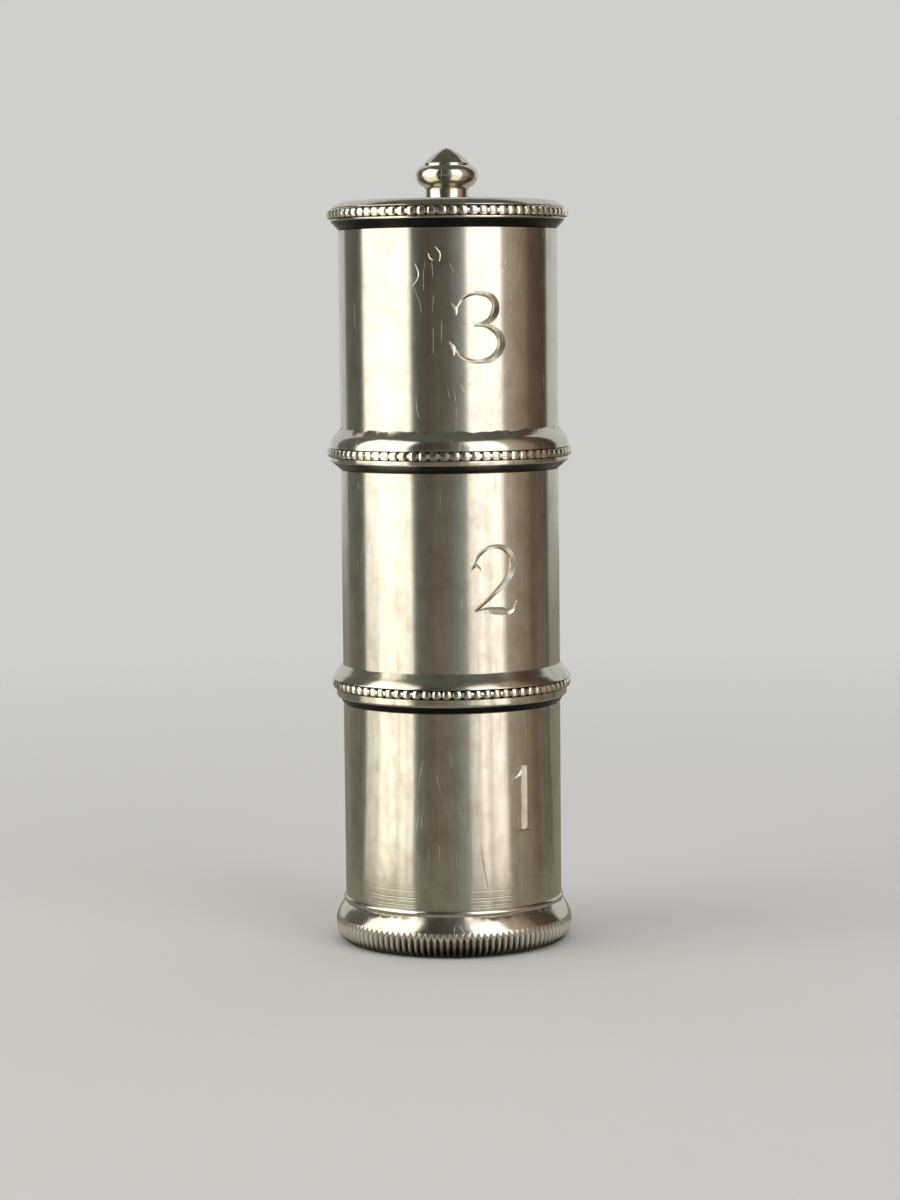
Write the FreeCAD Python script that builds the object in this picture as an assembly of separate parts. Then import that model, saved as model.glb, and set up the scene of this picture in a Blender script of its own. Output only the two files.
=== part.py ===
"""Three stacked screw-together containers in turned nickel silver, with a knobbed lid.

Each container is a thin tube with a soldered floor, a threaded neck at its mouth and, on the
upper two, a threaded socket and a beaded moulding round its base.  The lowest stands on a
reeded foot.  All threads are the same, so any tier or the lid screws onto any neck.

Millimetres.  +Z is up along the tubes' common axis; the origin is the middle of the face the
foot rests on.
"""
import FreeCAD, Part

import math
import os

# Overall sizes
BODY_DIAMETER = 22.0
BOTTOM_TIER_HEIGHT = 24.4       # rest face to the first seam
MIDDLE_TIER_HEIGHT = 23.6       # first seam to the second
TOP_TIER_HEIGHT = 23.9          # second seam to the lid's
WALL = 0.6
FLOOR_THICKNESS = 0.8
SOLDER_GAP = 0.02               # between soldered faces of one unit
SEAM_GAP = 0.05                 # between units that screw together

# The screw joint, the same at all three seams
NECK_PROTRUSION = 1.85
NECK_SKIRT = 3.0                # the part of a neck soldered inside its tube
NECK_WALL = 1.1
NECK_LEAD_IN = 0.15             # the chamfer that guides a socket on
SOCKET_WALL = 0.55
THREAD_LEAD = 0.8
THREAD_HEIGHT = 0.42
THREAD_ROOT_WIDTH = 0.36
THREAD_CREST_WIDTH = 0.16
THREAD_TURNS = 1.25
THREAD_CLEARANCE = 0.12         # radial, crest to the root it runs in
THREAD_EMBED = 0.1              # how far a ridge is let into its wall
SEAL_THICKNESS = 0.35
SEAL_CLEARANCE = 0.1

# Beaded wires
BEAD_PITCH = 0.934              # at the tube's surface
BEAD_SEAT_GAP = 0.02
WIRE_CORE_SHARE = 0.62          # core radius between beads, as a share of a bead's radius

# Lid
LID_PLATE_THICKNESS = 0.65      # over the socket
LID_EDGE_DROP = 0.85            # from the flat top to the plate's edge
LID_FLAT_INSET = 0.9            # of the flat top's edge from the tube's outside
LID_EDGE_REACH = 0.65           # the plate's edge beyond the tube
LID_OVOLO = 0.33                # where the rounded edge passes, in and up from its corner

# Knob
KNOB_HEIGHT = 5.2
KNOB_RADIUS = 3.15
KNOB_NECK_RADIUS = 2.2
KNOB_NECK_FLARE = 0.1           # at the plate
KNOB_COVE_HEIGHT = 1.3          # of the neck's hollow
KNOB_COVE_SPREAD = 0.35
KNOB_TORUS_LEVEL = 2.5          # of its widest line, above the plate
KNOB_CONE_LEVEL = 3.4           # of the cone's rim
KNOB_CONE_RADIUS = 2.3
KNOB_RIM_EDGE = 0.2             # height of the bright step under the cone
KNOB_TENON_RADIUS = 1.2
KNOB_RIVET_RADIUS = 2.4
KNOB_RIVET_THICKNESS = 0.4
TENON_HEAD_RADIUS = 1.6
TENON_HEAD_RISE = 0.35
KNOB_TIP_RADIUS = 0.75
KNOB_TIP_RISE = 0.32

# Foot
FOOT_HEIGHT = 4.05
FOOT_BULGE_REACH = 1.05         # beyond the tube
FOOT_CONTACT_REACH = 0.1
FOOT_INNER_INSET = 1.2          # of its opening from the tube's outside
FOOT_SOLE = 0.55                # under the tube's lower end
FLUTE_PITCH = 0.617             # at the tube's surface
FLUTE_DEPTH = 0.33              # from the bulge's widest line
LIP_WIRE_RADIUS = 0.3

# Worked-out sizes
BODY_RADIUS = BODY_DIAMETER / 2
BEAD_COUNT = round(math.pi * BODY_DIAMETER / BEAD_PITCH)
FLUTE_COUNT = round(math.pi * BODY_DIAMETER / FLUTE_PITCH)
BORE_RADIUS = BODY_RADIUS - WALL
SOCKET_RADIUS = BORE_RADIUS - SOCKET_WALL
NECK_RADIUS = SOCKET_RADIUS - THREAD_CLEARANCE - THREAD_HEIGHT
MOUTH_RADIUS = NECK_RADIUS - NECK_WALL
CEILING = NECK_PROTRUSION + SEAL_THICKNESS + SEAM_GAP   # of a socket, above its seam
LID_RISE = CEILING + LID_PLATE_THICKNESS                # seam to the flat top
LID_RIM_HEIGHT = LID_RISE - LID_EDGE_DROP               # seam to the plate's edge
LID_FLAT_RADIUS = BODY_RADIUS - LID_FLAT_INSET
FOOT_BULGE_RADIUS = BODY_RADIUS + FOOT_BULGE_REACH
FOOT_CONTACT_RADIUS = BODY_RADIUS + FOOT_CONTACT_REACH
FOOT_INNER_RADIUS = BODY_RADIUS - FOOT_INNER_INSET
FLUTE_VALLEY_RADIUS = FOOT_BULGE_RADIUS - FLUTE_DEPTH
LOWER_SEAM = BOTTOM_TIER_HEIGHT
UPPER_SEAM = LOWER_SEAM + MIDDLE_TIER_HEIGHT
LID_SEAM = UPPER_SEAM + TOP_TIER_HEIGHT

AXIS = FreeCAD.Vector(0, 0, 1)
CENTRE = FreeCAD.Vector(0, 0, 0)


def at(radius, height):
    """A point on the half-plane that profiles are drawn in."""
    return FreeCAD.Vector(radius, 0, height)


def turned(start, *steps):
    """Turn a closed profile about the axis.

    A step is the next point (radius, height), or a pair of points for an arc through the
    first to the second.
    """
    edges = []
    here = at(*start)
    for step in steps + (start,):
        if isinstance(step[0], tuple):
            through, end = (at(*point) for point in step)
            edges.append(Part.Arc(here, through, end).toShape())
        else:
            end = at(*step)
            edges.append(Part.LineSegment(here, end).toShape())
        here = end
    return Part.Face(Part.Wire(edges)).revolve(CENTRE, AXIS, 360)


def ring(inner, outer, low, high):
    """A plain ring, or a disc when inner is 0."""
    return turned((inner, low), (outer, low), (outer, high), (inner, high))


def dome_middle(rim_radius, rim_height, pole_height):
    """The middle of the arc from a rim to its pole whose centre lies on the axis."""
    rise = pole_height - rim_height
    sphere = (rim_radius ** 2 + rise ** 2) / (2 * rise)
    half_angle = math.asin(rim_radius / abs(sphere)) / 2
    return (abs(sphere) * math.sin(half_angle), pole_height - sphere * (1 - math.cos(half_angle)))


def polygon_edge(radius_and_angle):
    """Points of a star outline from (radius, degrees) pairs."""
    return [
        FreeCAD.Vector(r * math.cos(math.radians(a)), r * math.sin(math.radians(a)), 0)
        for r, a in radius_and_angle
    ]


def thread_ridge(wall_radius, crest_radius, first_height, phase):
    """A right-hand helical ridge that stands on a wall and points at its crest radius."""
    outward = 1 if crest_radius > wall_radius else -1
    root = wall_radius - outward * THREAD_EMBED
    corners = [
        at(root, -THREAD_ROOT_WIDTH / 2),
        at(root, THREAD_ROOT_WIDTH / 2),
        at(crest_radius, THREAD_CREST_WIDTH / 2),
        at(crest_radius, -THREAD_CREST_WIDTH / 2),
    ]
    profile = Part.makePolygon(corners + corners[:1])
    path = Part.Wire(Part.makeHelix(THREAD_LEAD, THREAD_LEAD * THREAD_TURNS, wall_radius))
    ridge = path.makePipeShell([profile], True, True)
    ridge.rotate(CENTRE, AXIS, phase)
    ridge.translate(FreeCAD.Vector(0, 0, first_height))
    return ridge


def thread_base():
    """Height of the male ridge's lower end above the seam, its run centred on the neck."""
    run = THREAD_LEAD * THREAD_TURNS
    return (NECK_PROTRUSION - run) / 2


def neck(seam):
    """A threaded neck, its skirt inside the tube and its shoulder level with the tube's end."""
    shoulder = seam - SEAM_GAP
    top = seam + NECK_PROTRUSION
    blank = turned(
        (MOUTH_RADIUS, shoulder - NECK_SKIRT),
        (BORE_RADIUS - SOLDER_GAP, shoulder - NECK_SKIRT),
        (BORE_RADIUS - SOLDER_GAP, shoulder),
        (NECK_RADIUS, shoulder),
        (NECK_RADIUS, top - NECK_LEAD_IN),
        (NECK_RADIUS - NECK_LEAD_IN, top),
        (MOUTH_RADIUS, top),
    )
    crest = NECK_RADIUS + THREAD_HEIGHT
    return blank.fuse(thread_ridge(NECK_RADIUS, crest, seam + thread_base(), 0))


def socket(seam):
    """A threaded socket ring; its ridge runs half a lead from the neck's."""
    blank = ring(SOCKET_RADIUS, BORE_RADIUS - SOLDER_GAP, seam, seam + CEILING)
    crest = SOCKET_RADIUS - THREAD_HEIGHT
    return blank.fuse(thread_ridge(SOCKET_RADIUS, crest, seam + thread_base(), 180))


def seal(seam):
    """A flat ring washer on top of the neck, under the socket's ceiling."""
    low = seam + NECK_PROTRUSION + SEAM_GAP / 2
    return ring(MOUTH_RADIUS, SOCKET_RADIUS - SEAL_CLEARANCE, low, low + SEAL_THICKNESS)


def tier_floor(seam):
    """The disc that closes a tier's base and is the ceiling of its socket."""
    low = seam + CEILING
    return ring(0, BORE_RADIUS - SOLDER_GAP, low, low + FLOOR_THICKNESS)


def tube(low, high):
    """A tier's wall."""
    return ring(BORE_RADIUS, BODY_RADIUS, low, high)


def bead_groove(bead_centre, bead_radius, seam):
    """The round-bottomed groove that a beaded wire is soldered into."""
    radius, height = bead_centre
    groove = Part.makeTorus(radius, bead_radius + BEAD_SEAT_GAP)
    groove.translate(FreeCAD.Vector(0, 0, seam + height))
    return groove


def beaded_wire(bead_centre, bead_radius, seam):
    """A ring of wire rolled into touching beads."""
    radius, height = bead_centre
    core = Part.makeTorus(radius, bead_radius * WIRE_CORE_SHARE)
    beads = []
    for index in range(BEAD_COUNT):
        bead = Part.makeSphere(bead_radius, FreeCAD.Vector(radius, 0, 0))
        bead.rotate(CENTRE, AXIS, index * 360 / BEAD_COUNT)
        beads.append(bead)
    wire = core.multiFuse(beads)
    wire.translate(FreeCAD.Vector(0, 0, seam + height))
    return wire.Solids[0]


# Each base moulding: heights above its seam, reaches beyond the tube
UPPER_MOULDING = {
    "chamfer": (0.85, 0.7), "strip": (1.0, 0.8), "bead": (0.92, 1.65), "bead_radius": 0.45,
    "band": (1.02, 2.3), "band_top": (0.92, 2.93), "shoulder": (0.48, 3.5), "top": 4.1,
}
LOWER_MOULDING = {
    "chamfer": (0.39, 0.55), "strip": (0.68, 0.9), "bead": (0.62, 1.9), "bead_radius": 0.49,
    "band": (1.05, 2.48), "band_top": (0.84, 2.8), "shoulder": (0.5, 3.3), "top": 3.9,
}
LID_MOULDING = {"chamfer": (0.75, 0.85), "strip": (0.8, 1.0), "bead": (0.75, 1.5), "bead_radius": 0.46}
MOULDING_FOOT_EDGE = 0.06       # its lowest edge, so that it isn't a feather


def beyond(reach_and_height, seam):
    """A profile point from its reach beyond the tube and its height above the seam."""
    reach, height = reach_and_height
    return (BODY_RADIUS + reach, seam + height)


def bead_centre(moulding):
    """The centre of a moulding's beads, as a radius and a height above the seam."""
    reach, height = moulding["bead"]
    return (BODY_RADIUS + reach, height)


def base_moulding(moulding, seam):
    """The moulding round a tier's base: chamfer, strip, bead groove, band and shoulder."""
    inner = BODY_RADIUS + SOLDER_GAP
    blank = turned(
        (inner, seam),
        (inner + MOULDING_FOOT_EDGE, seam),
        beyond(moulding["chamfer"], seam),
        beyond(moulding["strip"], seam),
        beyond(moulding["band"], seam),
        (beyond(moulding["band_top"], seam), beyond(moulding["shoulder"], seam)),
        (inner + MOULDING_FOOT_EDGE, seam + moulding["top"]),
        (inner, seam + moulding["top"]),
    )
    return blank.cut(bead_groove(bead_centre(moulding), moulding["bead_radius"], seam))


def lid_moulding(seam):
    """The lid's rim ring, from its chamfer up to the plate, with a groove for the beads."""
    moulding = LID_MOULDING
    plate_edge = seam + LID_RIM_HEIGHT
    blank = turned(
        (BORE_RADIUS, seam),
        (BODY_RADIUS, seam),
        beyond(moulding["chamfer"], seam),
        beyond(moulding["strip"], seam),
        (BODY_RADIUS + moulding["strip"][0], plate_edge - SOLDER_GAP),
        (BORE_RADIUS, plate_edge - SOLDER_GAP),
    )
    return blank.cut(bead_groove(bead_centre(moulding), moulding["bead_radius"], seam))


def lid_plate(seam):
    """The lid's top: an ovolo edge round a flat disc that the knob is riveted through."""
    top = seam + LID_RISE
    edge = BODY_RADIUS + LID_EDGE_REACH
    edge_height = seam + LID_RIM_HEIGHT
    ceiling = seam + CEILING
    return turned(
        (KNOB_TENON_RADIUS + SOLDER_GAP, ceiling),
        (BORE_RADIUS - SOLDER_GAP, ceiling),
        (BORE_RADIUS - SOLDER_GAP, edge_height),
        (edge, edge_height),
        ((edge - LID_OVOLO, edge_height + LID_OVOLO), (LID_FLAT_RADIUS, top)),
        (KNOB_TENON_RADIUS + SOLDER_GAP, top),
    )


def lid_knob(seam):
    """The finial: neck, torus and cone, with a tenon peened over beneath the plate."""
    base = seam + LID_RISE + SOLDER_GAP
    tip = base + KNOB_HEIGHT - SOLDER_GAP
    cove_top = (KNOB_NECK_RADIUS + KNOB_COVE_SPREAD, base + KNOB_COVE_HEIGHT)
    cove_middle = (KNOB_NECK_RADIUS, base + 0.7 * KNOB_COVE_HEIGHT)
    widest = (KNOB_RADIUS, base + KNOB_TORUS_LEVEL)
    cone = base + KNOB_CONE_LEVEL
    rivet_low = seam + CEILING - SOLDER_GAP - KNOB_RIVET_THICKNESS
    head = rivet_low - SOLDER_GAP
    head_pole = head - TENON_HEAD_RISE
    tip_rim = tip - KNOB_TIP_RISE
    return turned(
        (0, head_pole),
        (dome_middle(TENON_HEAD_RADIUS, head, head_pole), (TENON_HEAD_RADIUS, head)),
        (KNOB_TENON_RADIUS, head),
        (KNOB_TENON_RADIUS, base),
        (KNOB_NECK_RADIUS + KNOB_NECK_FLARE, base),
        (cove_middle, cove_top),
        (widest, (KNOB_CONE_RADIUS, cone)),
        (KNOB_CONE_RADIUS, cone + KNOB_RIM_EDGE),
        (KNOB_TIP_RADIUS, tip_rim),
        (dome_middle(KNOB_TIP_RADIUS, tip_rim, tip), (0, tip)),
    )


def knob_rivet(seam):
    """The washer that the knob's tenon is peened over."""
    high = seam + CEILING - SOLDER_GAP
    return ring(KNOB_TENON_RADIUS + SOLDER_GAP, KNOB_RIVET_RADIUS, high - KNOB_RIVET_THICKNESS, high)


def foot_ring():
    """The reeded foot: a bulged ring, its flutes running out where the bulge falls away."""
    inner = BODY_RADIUS + SOLDER_GAP
    bulge = FOOT_HEIGHT / 2
    blank = turned(
        (FOOT_INNER_RADIUS, 0),
        (FOOT_CONTACT_RADIUS, 0),
        ((FOOT_BULGE_RADIUS, bulge), (inner + MOULDING_FOOT_EDGE, FOOT_HEIGHT)),
        (inner, FOOT_HEIGHT),
        (inner, FOOT_SOLE),
        (FOOT_INNER_RADIUS, FOOT_SOLE),
    )
    step = 360 / FLUTE_COUNT
    crest = FOOT_BULGE_RADIUS + SOLDER_GAP
    outline = []
    for index in range(FLUTE_COUNT):
        outline += [(FLUTE_VALLEY_RADIUS, index * step), (crest, (index + 0.5) * step)]
    points = polygon_edge(outline)
    star = Part.Face(Part.makePolygon(points + points[:1]))
    return blank.common(star.extrude(FreeCAD.Vector(0, 0, FOOT_HEIGHT)))


def foot_lip():
    """The thin wire soldered round the tube on top of the foot."""
    inner = BODY_RADIUS + SOLDER_GAP
    low = FOOT_HEIGHT + SOLDER_GAP
    middle = low + LIP_WIRE_RADIUS
    return turned(
        (inner, low),
        ((inner + LIP_WIRE_RADIUS * 0.6, middle), (inner, low + 2 * LIP_WIRE_RADIUS)),
    )


def stacked_tier(name, low_seam, high_seam, moulding):
    """The six pieces of a tier that screws onto the one below it."""
    return {
        f"{name}_tube": tube(low_seam, high_seam - SEAM_GAP),
        f"{name}_neck": neck(high_seam),
        f"{name}_floor": tier_floor(low_seam),
        f"{name}_socket": socket(low_seam),
        f"{name}_base_moulding": base_moulding(moulding, low_seam),
        f"{name}_beaded_wire": beaded_wire(bead_centre(moulding), moulding["bead_radius"], low_seam),
    }


def bottom_tier():
    """The lowest container, which stands on the foot."""
    tube_low = FOOT_SOLE + SOLDER_GAP
    return {
        "bottom_tube": tube(tube_low, LOWER_SEAM - SEAM_GAP),
        "bottom_neck": neck(LOWER_SEAM),
        "bottom_floor": ring(0, BORE_RADIUS - SOLDER_GAP, tube_low, tube_low + FLOOR_THICKNESS),
        "foot_ring": foot_ring(),
        "foot_lip_wire": foot_lip(),
    }


def lid():
    """The lid's six pieces."""
    return {
        "lid_plate": lid_plate(LID_SEAM),
        "lid_rim_moulding": lid_moulding(LID_SEAM),
        "lid_beaded_wire": beaded_wire(bead_centre(LID_MOULDING), LID_MOULDING["bead_radius"], LID_SEAM),
        "lid_threaded_socket": socket(LID_SEAM),
        "lid_knob": lid_knob(LID_SEAM),
        "lid_knob_rivet": knob_rivet(LID_SEAM),
    }


def build():
    """Every piece of the object, by node name."""
    pieces = bottom_tier()
    pieces["middle_seal"] = seal(LOWER_SEAM)
    pieces.update(stacked_tier("middle", LOWER_SEAM, UPPER_SEAM, LOWER_MOULDING))
    pieces["top_seal"] = seal(UPPER_SEAM)
    pieces.update(stacked_tier("top", UPPER_SEAM, LID_SEAM, UPPER_MOULDING))
    pieces["lid_seal"] = seal(LID_SEAM)
    pieces.update(lid())
    return pieces


os.makedirs("parts", exist_ok=True)
for node, shape in build().items():
    shape.exportStep(f"parts/{node}.step")
    box = shape.BoundBox
    print(f"{node:22s} solids {len(shape.Solids)} volume {shape.Volume:9.3f} valid {shape.isValid()}"
          f" z {box.ZMin:7.3f} {box.ZMax:7.3f} r {box.XMax:7.3f}")
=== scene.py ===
"""The looks of three stacked screw-together containers in turned nickel silver.

The frame gives every place and size.  The turned and beaded pieces that show are modelled
here again with their real edges, seats, beads, flutes and engraved numerals; the threads,
floors and seals inside keep the frame's shapes and get finishes.

Lengths are in metres.  Sizes that are easier to read in millimetres are multiplied by MM.
"""

import logging
import math
from dataclasses import dataclass, field
from enum import Enum
from typing import Callable

import bpy
from mathutils import Euler, Matrix, Vector, noise


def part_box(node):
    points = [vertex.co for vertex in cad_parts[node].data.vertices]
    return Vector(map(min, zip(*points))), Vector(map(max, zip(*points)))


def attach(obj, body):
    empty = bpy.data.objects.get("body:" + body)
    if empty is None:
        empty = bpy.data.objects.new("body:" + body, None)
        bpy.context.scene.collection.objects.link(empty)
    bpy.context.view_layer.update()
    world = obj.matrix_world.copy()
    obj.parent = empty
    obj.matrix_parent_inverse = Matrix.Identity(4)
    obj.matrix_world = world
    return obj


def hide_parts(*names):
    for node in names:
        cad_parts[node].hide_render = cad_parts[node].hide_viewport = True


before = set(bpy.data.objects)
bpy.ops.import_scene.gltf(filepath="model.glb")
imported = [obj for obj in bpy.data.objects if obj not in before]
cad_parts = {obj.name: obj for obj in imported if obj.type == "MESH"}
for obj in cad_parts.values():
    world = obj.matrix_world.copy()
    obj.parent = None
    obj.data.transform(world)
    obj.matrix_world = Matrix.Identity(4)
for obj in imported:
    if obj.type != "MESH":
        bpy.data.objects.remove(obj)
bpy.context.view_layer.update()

LOG = logging.getLogger("container_set")
MM = 0.001
WELD = 1e-7

Point = tuple[float, float]


@dataclass(frozen=True)
class Span:
    """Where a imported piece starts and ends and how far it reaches, in millimetres."""

    low: float
    high: float
    radius: float

    @classmethod
    def of(cls, node: str) -> "Span":
        """Read it from the frame."""
        low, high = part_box(node)
        return cls(round(low.z / MM, 3), round(high.z / MM, 3), round(high.x / MM, 3))


TUBE_RADIUS = Span.of("bottom_tube").radius
SOLDER_GAP = 0.02                   # millimetres between soldered pieces
BORE_RADIUS = Span.of("bottom_floor").radius + SOLDER_GAP
FOOT_OPENING_INSET = 0.6            # millimetres, from the bore
BEAD_COUNT = 74
FLUTE_COUNT = 112
ACROSS_THE_RINGS = 0.25             # turns: the gloss is drawn out at a right angle to tool rings
CHAMFER_SLOPE = -0.3                # faces that look down more than this belong to a chamfer
WALL_STEPS = 360                    # faces round a tube, so that its outline shows no corners


class Body(Enum):
    """The rigid bodies that pieces ride on."""

    BOTTOM = "bottom_tier"
    MIDDLE = "middle_tier"
    TOP = "top_tier"
    LID = "lid"


class Slot(Enum):
    """The record's material slots."""

    OUTER = "outer_metal"
    BEADS = "beaded_wire"
    INNER = "inner_metal"
    SEAL = "seal"


# Modelling


def deselect_all() -> None:
    """Leave nothing selected, and be in object mode."""
    if bpy.context.object and bpy.context.object.mode != "OBJECT":
        bpy.ops.object.mode_set(mode="OBJECT")
    bpy.ops.object.select_all(action="DESELECT")


def select_only(piece: bpy.types.Object) -> None:
    """Make one piece the only selected and the active one."""
    deselect_all()
    piece.select_set(True)
    bpy.context.view_layer.objects.active = piece


def apply_modifier(piece: bpy.types.Object, kind: str, **settings: object) -> None:
    """Add a modifier with its settings and apply it.

    Args:
        piece: The mesh to change.
        kind: Blender's name for the modifier's type.
        settings: Values for the modifier's own properties.
    """
    select_only(piece)
    modifier = piece.modifiers.new(kind.lower(), kind)
    for key, value in settings.items():
        setattr(modifier, key, value)
    bpy.ops.object.modifier_apply(modifier=modifier.name)


def weld(piece: bpy.types.Object) -> None:
    """Merge doubled points and turn every face outwards."""
    select_only(piece)
    bpy.ops.object.mode_set(mode="EDIT")
    bpy.ops.mesh.select_all(action="SELECT")
    bpy.ops.mesh.remove_doubles(threshold=WELD)
    bpy.ops.mesh.normals_make_consistent(inside=False)
    bpy.ops.object.mode_set(mode="OBJECT")


def settle(piece: bpy.types.Object, sharp_deg: float = 35.0) -> bpy.types.Object:
    """Put the place into the mesh and shade it smooth but for its sharp edges.

    Args:
        piece: A finished mesh.
        sharp_deg: Edges that turn by more than this stay sharp.

    Returns:
        The same piece.
    """
    select_only(piece)
    bpy.ops.object.transform_apply(location=True, rotation=True, scale=True)
    bpy.ops.object.shade_smooth_by_angle(angle=math.radians(sharp_deg))
    deselect_all()
    return piece


class Outline:
    """A profile in the half-plane of radius and height, in millimetres above a base."""

    def __init__(self, radius: float, height: float, base: float = 0.0) -> None:
        """Start at a point; the base is added to every height."""
        self.base = base
        self.points: list[Point] = [(radius, base + height)]

    def line(self, *ends: Point) -> "Outline":
        """Straight to each of the ends in turn."""
        self.points.extend((radius, self.base + height) for radius, height in ends)
        return self

    def arc(self, through: Point, end: Point, cuts: int = 8) -> "Outline":
        """A circular arc to the end.

        Args:
            through: A point on the arc.
            end: Where it ends.
            cuts: How many straight pieces stand for it.

        Returns:
            The outline, to go on from.
        """
        end = (end[0], self.base + end[1])
        (ax, ay), (bx, by), (cx, cy) = self.points[-1], (through[0], self.base + through[1]), end
        twice = 2 * (ax * (by - cy) + bx * (cy - ay) + cx * (ay - by))
        a2, b2, c2 = ax * ax + ay * ay, bx * bx + by * by, cx * cx + cy * cy
        ox = (a2 * (by - cy) + b2 * (cy - ay) + c2 * (ay - by)) / twice
        oy = (a2 * (cx - bx) + b2 * (ax - cx) + c2 * (bx - ax)) / twice
        radius = math.hypot(ax - ox, ay - oy)
        first = math.atan2(ay - oy, ax - ox)
        middle = (math.atan2(by - oy, bx - ox) - first) % math.tau
        sweep = (math.atan2(cy - oy, cx - ox) - first) % math.tau
        if middle > sweep:
            sweep -= math.tau
        for cut in range(1, cuts + 1):
            angle = first + sweep * cut / cuts
            self.points.append((ox + radius * math.cos(angle), oy + radius * math.sin(angle)))
        self.points[-1] = end
        return self


def draw_chain(name: str, points: list[Point]) -> bpy.types.Object:
    """Draw a profile as a chain of edges, by extruding one point along it.

    Args:
        name: The piece's name.
        points: (radius, height) in millimetres.

    Returns:
        A mesh in the XZ plane.
    """
    deselect_all()
    first = Vector((points[0][0], 0, points[0][1])) * MM
    bpy.ops.mesh.primitive_plane_add(size=MM, location=first)
    piece = bpy.context.object
    piece.name = piece.data.name = name
    bpy.ops.object.transform_apply(location=True, rotation=True, scale=True)
    bpy.ops.object.mode_set(mode="EDIT")
    bpy.ops.mesh.select_all(action="SELECT")
    bpy.ops.mesh.merge(type="CENTER")
    for (r0, z0), (r1, z1) in zip(points, points[1:]):
        step = Vector((r1 - r0, 0, z1 - z0)) * MM
        bpy.ops.mesh.extrude_vertices_move(TRANSFORM_OT_translate={"value": step})
    bpy.ops.object.mode_set(mode="OBJECT")
    return piece


def spin_about_axis(piece: bpy.types.Object, angle: float, steps: int) -> None:
    """Spin a profile about the upright axis, anticlockwise seen from above."""
    select_only(piece)
    bpy.ops.object.mode_set(mode="EDIT")
    bpy.ops.mesh.select_all(action="SELECT")
    bpy.ops.mesh.spin(steps=steps, angle=-angle, center=(0, 0, 0), axis=(0, 0, 1))
    bpy.ops.object.mode_set(mode="OBJECT")


def turn(name: str, outline: Outline, steps: int = 256) -> bpy.types.Object:
    """Turn a closed outline into a round piece.

    Args:
        name: The piece's name.
        outline: Its section; the last point is joined to the first.
        steps: Faces round the axis.

    Returns:
        The closed mesh.
    """
    piece = draw_chain(name, outline.points + outline.points[:1])
    spin_about_axis(piece, math.tau, steps)
    weld(piece)
    return piece


def repeat_round(piece: bpy.types.Object, count: int) -> None:
    """Copy a piece evenly round the upright axis, joined where copies meet."""
    deselect_all()
    bpy.ops.object.empty_add(rotation=(0, 0, math.tau / count))
    turner = bpy.context.object
    apply_modifier(
        piece, "ARRAY", count=count, use_relative_offset=False, use_object_offset=True,
        offset_object=turner,
    )
    bpy.data.objects.remove(turner)


def join(pieces: list[bpy.types.Object], name: str) -> bpy.types.Object:
    """Join pieces into the first of them."""
    deselect_all()
    for piece in pieces:
        piece.select_set(True)
    bpy.context.view_layer.objects.active = pieces[0]
    bpy.ops.object.join()
    pieces[0].name = pieces[0].data.name = name
    return pieces[0]


def move_points(piece: bpy.types.Object, move: Callable[[Vector], Vector]) -> None:
    """Move each of a mesh's points by a rule, as a sculptor would."""
    for vertex in piece.data.vertices:
        vertex.co = move(vertex.co.copy())
    piece.data.update()


def ripple(piece: bpy.types.Object, low: float, high: float, reach: float, swing: float) -> None:
    """Make a turned piece's edge uneven in height, as run solder is; all in millimetres.

    Args:
        piece: The turned piece.
        low: The height where the unevenness starts.
        high: The height where it is full.
        reach: Only points nearer the axis than this move.
        swing: About the largest move up or down.
    """
    coarse_size, fine_size, fine_share = 2.6 * MM, 0.7 * MM, 0.5

    def lift(point: Vector) -> Vector:
        """Move a point by a noise that depends on its place round the axis."""
        share = min(max((point.z / MM - low) / (high - low), 0.0), 1.0)
        if math.hypot(point.x, point.y) > reach * MM or share == 0.0:
            return point
        coarse = noise.noise(Vector((point.x, point.y, low * MM)) / coarse_size)
        fine = noise.noise(Vector((point.x, point.y, high * MM)) / fine_size)
        return point + Vector((0, 0, share * swing * MM * (coarse + fine_share * fine)))

    move_points(piece, lift)


def round_shading(piece: bpy.types.Object) -> None:
    """Shade a tube's own faces as exactly round and its cuts' faces as flat facets."""
    mesh = piece.data
    for face in mesh.polygons:
        face.use_smooth = not face.material_index
    normals = []
    for face in mesh.polygons:
        for corner in face.loop_indices:
            point = mesh.vertices[mesh.loops[corner].vertex_index].co
            out = Vector((point.x, point.y, 0)).normalized()
            side = math.copysign(math.sqrt(max(0.0, 1 - face.normal.z ** 2)), face.normal.dot(out))
            true = out * side + Vector((0, 0, face.normal.z))
            normals.append(face.normal.copy() if face.material_index else true)
    mesh.normals_split_custom_set(normals)


def give_finish(piece: bpy.types.Object, *finishes: bpy.types.Material) -> None:
    """Put finishes in a piece's material slots, in order."""
    piece.data.materials.clear()
    for finish in finishes:
        piece.data.materials.append(finish)


def finish_faces(
    piece: bpy.types.Object, index: int, chosen: Callable[[Vector, Vector], bool]
) -> None:
    """Give one of a piece's finishes to the faces a rule picks.

    Args:
        piece: A mesh with that many finishes.
        index: Which of its finishes.
        chosen: Says whether a face is picked, from its centre and its normal.
    """
    for face in piece.data.polygons:
        if chosen(face.center, face.normal):
            face.material_index = index


def blacken_chamfer(piece: bpy.types.Object, top: float) -> None:
    """Give the second finish, a painted dark reflection, to the downward faces below a height in
    millimetres.
    """
    finish_faces(piece, 1, lambda centre, normal: centre.z < top * MM and normal.z < CHAMFER_SLOPE)


def place_on(piece: bpy.types.Object, body: Body, slot: Slot, *nodes: str) -> bpy.types.Object:
    """Ride a finished piece on its body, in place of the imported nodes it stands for."""
    settle(piece)
    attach(piece, body.value)
    if nodes:
        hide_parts(*nodes)
    LOG.info("%s: %d faces on %s", piece.name, len(piece.data.polygons), body.value)
    return piece


# Finishes


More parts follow.
